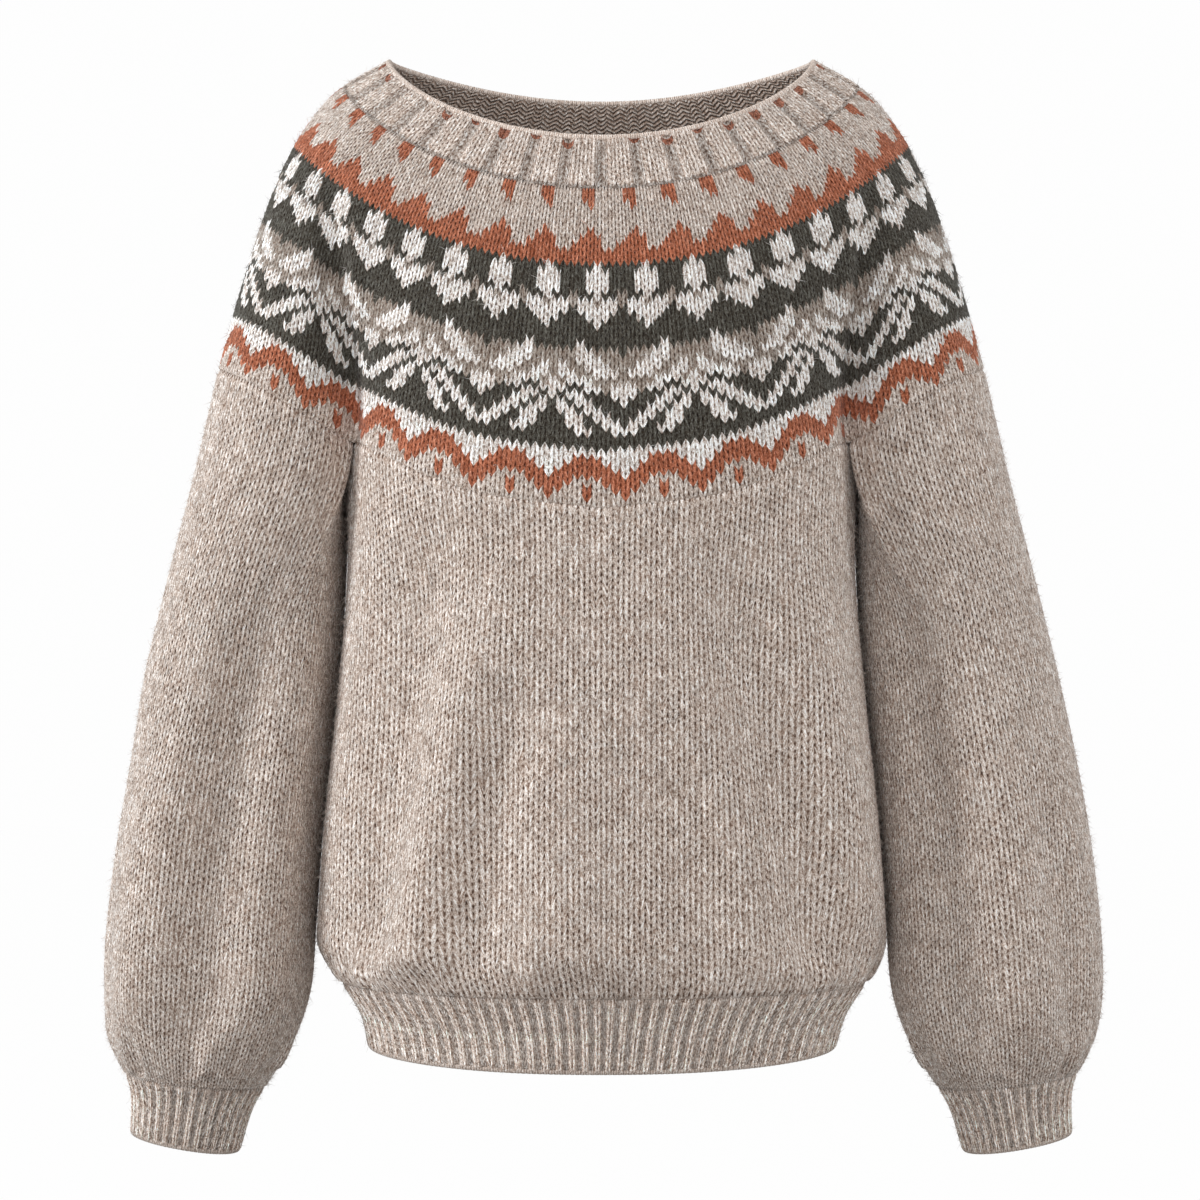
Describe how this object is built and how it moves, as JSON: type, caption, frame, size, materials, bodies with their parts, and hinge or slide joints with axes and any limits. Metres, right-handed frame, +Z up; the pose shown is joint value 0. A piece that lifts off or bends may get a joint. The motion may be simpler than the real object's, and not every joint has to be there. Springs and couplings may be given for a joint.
{
  "type": "round-yoke knitted sweater, worn form with no wearer",
  "caption": "Hip-length knitted pullover with a wide ribbed neck, a round colourwork yoke, full gathered sleeves and ribbed hem and cuffs, in its hollow worn form.",
  "frame": {"origin": "midway between the two shoulders, on the line where the neckband seam rests on them", "axes": "+Z up, -Y out of the front, +X towards the wearer's left arm"},
  "size_m": [0.6297, 0.2611, 0.6855],
  "materials": {
    "heather_wool": "heathered greige wool in stocking stitch, brushed to a soft halo",
    "ribbed_wool": "heathered greige wool in rib",
    "colourwork_wool": "stranded colourwork in charcoal green, cream, rust and taupe wool"
  },
  "bodies": {
    "root": {"neckband": "ribbed_wool", "yoke": "colourwork_wool", "body": "heather_wool", "hem_rib": "ribbed_wool", "sleeve_left": "heather_wool", "sleeve_right": "heather_wool", "cuff_left": "ribbed_wool", "cuff_right": "ribbed_wool"}
  },
  "joints": []
}
